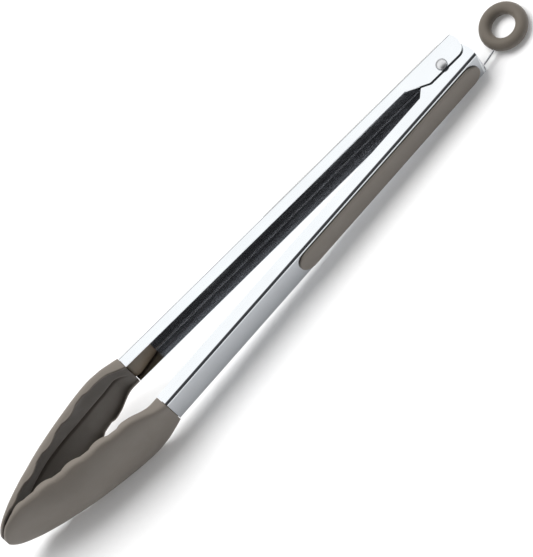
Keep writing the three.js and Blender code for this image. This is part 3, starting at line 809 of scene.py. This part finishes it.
# ---- camera, light and floor -----------------------------------------------------------------------
VIEW_BACK = Vector((0.0, 0.5295, 0.8483))
VIEW_RIGHT = Vector((-0.6877, 0.6159, -0.3844))
VIEW_TARGET = Vector((0.1246, 0.0036, MID * MM - 0.0023))
VIEW_HEIGHT_M = 0.2520
LENS_MM, SENSOR_MM = 900, 36
KEY_POWER = 16
FILL_POWER = 5
KEY_PLACE, KEY_TARGET, KEY_SIZE = (0.12, -0.57, 1.28), (0.12, 0, 0), (1.2, 0.9)  # metres
FLOOR_HALF_M = 3.0


def add_camera():
    data = bpy.data.cameras.new("camera")
    data.lens, data.sensor_width = LENS_MM, SENSOR_MM
    camera = bpy.data.objects.new("camera", data)
    bpy.context.scene.collection.objects.link(camera)
    back = VIEW_BACK.normalized()
    right = (VIEW_RIGHT - back * VIEW_RIGHT.dot(back)).normalized()
    up = back.cross(right)
    distance = VIEW_HEIGHT_M * LENS_MM / SENSOR_MM
    turn = Matrix((right, up, back)).transposed().to_4x4()
    camera.matrix_world = Matrix.Translation(VIEW_TARGET + back * distance) @ turn
    data.clip_end = 30
    bpy.context.scene.camera = camera


def aim(obj, target):
    obj.rotation_mode = "QUATERNION"
    obj.rotation_quaternion = (obj.location - Vector(target)).to_track_quat("Z", "Y")


def add_area(name, place, target, size, power):
    data = bpy.data.lights.new(name, "AREA")
    data.shape = "RECTANGLE"
    data.size, data.size_y = size
    data.energy = power
    light = bpy.data.objects.new(name, data)
    light.location = place
    aim(light, target)
    bpy.context.scene.collection.objects.link(light)
    return light


def add_key(name):
    """The overhead softbox: it lights surfaces without showing as a reflection in the steel."""
    key = add_area(name, KEY_PLACE, KEY_TARGET, KEY_SIZE, KEY_POWER)
    key.visible_glossy = False
    return key


def collect(name, members):
    collection = bpy.data.collections.new(name)
    for member in members:
        collection.objects.link(member)
    return collection


def link_keys(floor):
    """One softbox lights the pieces. Its twin lights the floor, where the plain arm casts no shadow."""
    pieces = [piece for piece in bpy.context.scene.objects if piece.type == "MESH" and piece != floor]
    casters = [piece for piece in pieces if piece.get("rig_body", "lock_arm") != "plain_arm"]
    PIECE_KEY.light_linking.receiver_collection = collect("lit_pieces", pieces)
    FLOOR_KEY.light_linking.receiver_collection = collect("lit_floor", [floor])
    FLOOR_FILL.light_linking.receiver_collection = FLOOR_KEY.light_linking.receiver_collection
    FLOOR_KEY.light_linking.blocker_collection = collect("floor_shadow_casters", casters)


def add_world():
    """A bright room with a darker side where the camera and its operator stand."""
    world = bpy.data.worlds.new("studio")
    bpy.context.scene.world = world
    world.use_nodes = True
    tree = world.node_tree
    background = tree.nodes["Background"]
    coords = tree.nodes.new("ShaderNodeTexCoord")
    facing = tree.nodes.new("ShaderNodeVectorMath")
    facing.operation = "DOT_PRODUCT"
    facing.inputs[1].default_value = VIEW_BACK.normalized()
    tree.links.new(coords.outputs["Generated"], facing.inputs[0])
    ramp = tree.nodes.new("ShaderNodeValToRGB")
    bright, dark = ramp.color_ramp.elements
    bright.position, dark.position = 0.58, 0.84
    bright.color = (1, 1, 1, 1)
    dark.color = (0.05, 0.05, 0.053, 1)
    tree.links.new(facing.outputs["Value"], ramp.inputs["Fac"])
    split = tree.nodes.new("ShaderNodeSeparateXYZ")
    tree.links.new(coords.outputs["Generated"], split.inputs["Vector"])
    height = tree.nodes.new("ShaderNodeValToRGB")
    stops = height.color_ramp.elements
    stops[0].position, stops[1].position = 0.0, 0.54
    stops[0].color, stops[1].color = (0.12, 0.12, 0.125, 1), (1.0, 1.0, 1.0, 1)
    stops.new(0.36).color = (0.14, 0.14, 0.145, 1)
    tree.links.new(split.outputs["Z"], height.inputs["Fac"])
    both = tree.nodes.new("ShaderNodeMix")
    both.data_type = "RGBA"
    both.blend_type = "MULTIPLY"
    both.inputs["Factor"].default_value = 1
    tree.links.new(ramp.outputs["Color"], both.inputs[6])
    tree.links.new(height.outputs["Color"], both.inputs[7])
    tree.links.new(both.outputs[2], background.inputs["Color"])
    background.inputs["Strength"].default_value = 1.15


def add_floor():
    """A plain pale floor under the tongs: it touches the ring and the lower head's rim."""
    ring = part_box("pull_ring")[0] / MM
    rest = Vector((RING_CENTRE.x - RING_RADIUS, 0, ring.z))
    heads = [(x * math.cos(ARM_ANGLE), MID + ARM_CENTRE - head_width(x)) for x in range(210, 280, 2)]
    slope = max((rest.z - z) / (x - rest.x) for x, z in heads)
    half = FLOOR_HALF_M / MM
    corners = ((-half, -half), (half, -half), (half, half), (-half, half))
    points = [(x, y, rest.z - slope * (x - rest.x) - 0.05) for x, y in corners]
    floor = mesh_object("studio_floor", points, [(0, 1, 2, 3)], Matrix.Scale(MM, 4), 180)
    material, tree, shader = new_material("floor_paper", (0.90, 0.90, 0.90), 0.9)
    grain = add_noise(tree, 300, 2)
    tone = add_ramp(tree, grain, grey(0.895), grey(0.905))
    tree.links.new(tone, shader.inputs["Base Color"])
    shader.inputs["Specular IOR Level"].default_value = 0.1
    floor.data.materials.append(material)
    return floor


add_camera()
add_world()
PIECE_KEY = add_key("piece_key")
FLOOR_KEY = add_key("floor_key")
FLOOR_FILL = add_key("floor_fill")
FLOOR_FILL.data.energy = FILL_POWER
FLOOR_FILL.data.use_shadow = False
FLOOR = add_floor()
bpy.context.scene.view_settings.view_transform = "Standard"

for arm in ("plain_arm", "lock_arm"):
    arm_channel(arm)
    grip_inlay(arm)
    head_cover(arm)
    head_core(arm)
pivot_rivet()
pivot_spacer()
torsion_spring()
lock_plate()
pull_wire()
pull_ring()

link_keys(FLOOR)
